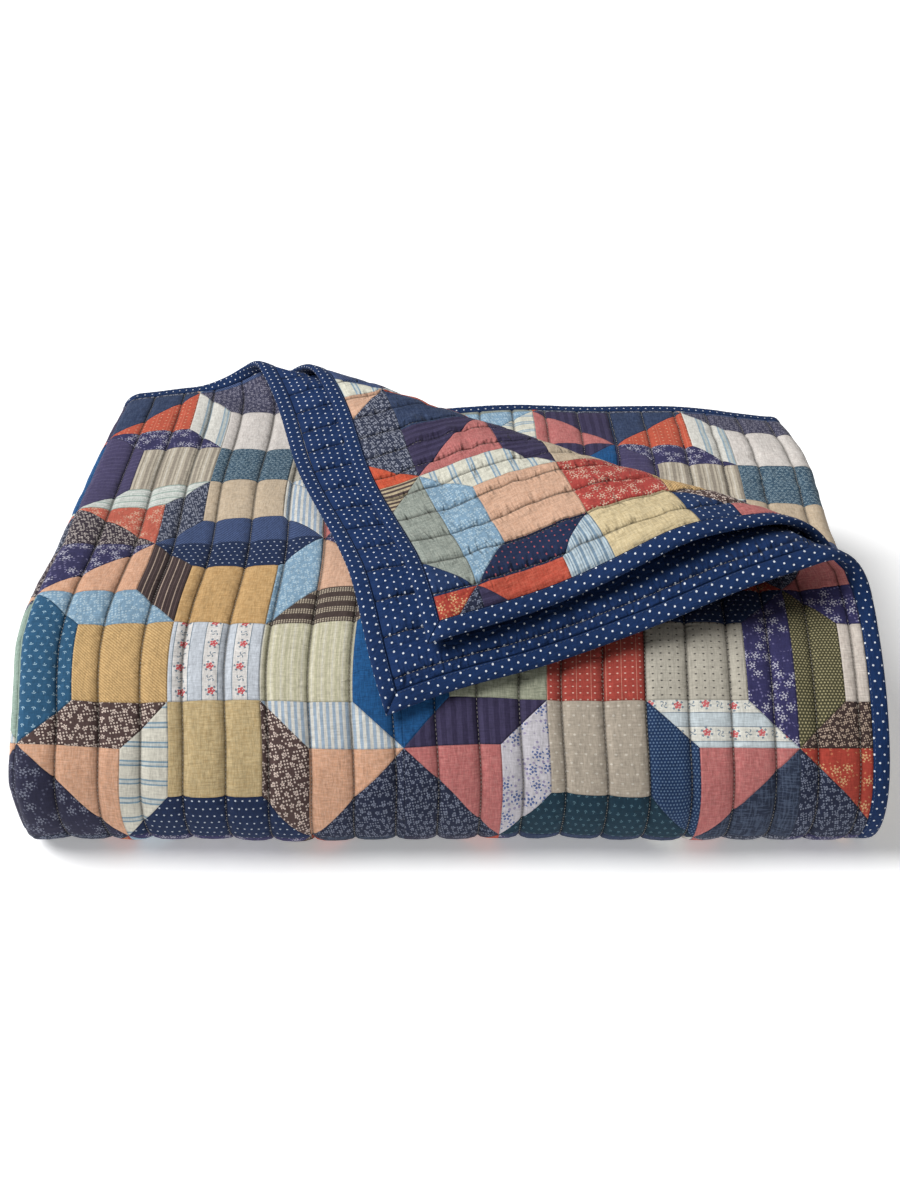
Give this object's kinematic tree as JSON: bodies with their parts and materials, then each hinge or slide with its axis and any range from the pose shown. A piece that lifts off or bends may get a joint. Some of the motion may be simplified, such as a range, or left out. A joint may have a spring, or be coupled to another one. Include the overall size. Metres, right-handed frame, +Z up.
{
  "type": "folded patchwork quilt",
  "caption": "Folded patchwork quilt with straight channel quilting, a dotted reverse and binding, and one corner turned over.",
  "frame": {"origin": "middle of the folded quilt's underside", "axes": "+X to the right along the quilt's folded width, +Z up, and the big rounded fold at the front faces -Y"},
  "size_m": [0.5868, 0.4577, 0.2002],
  "materials": {
    "patchwork": "matt printed cotton patchwork, navy dotted cotton reverse",
    "binding": "matt navy cotton with small white dots"
  },
  "bodies": {
    "root": {"quilt": "patchwork", "binding_side_top": "binding", "binding_side_inner": "binding", "binding_end_top": "binding", "binding_end_inner": "binding"}
  },
  "joints": []
}
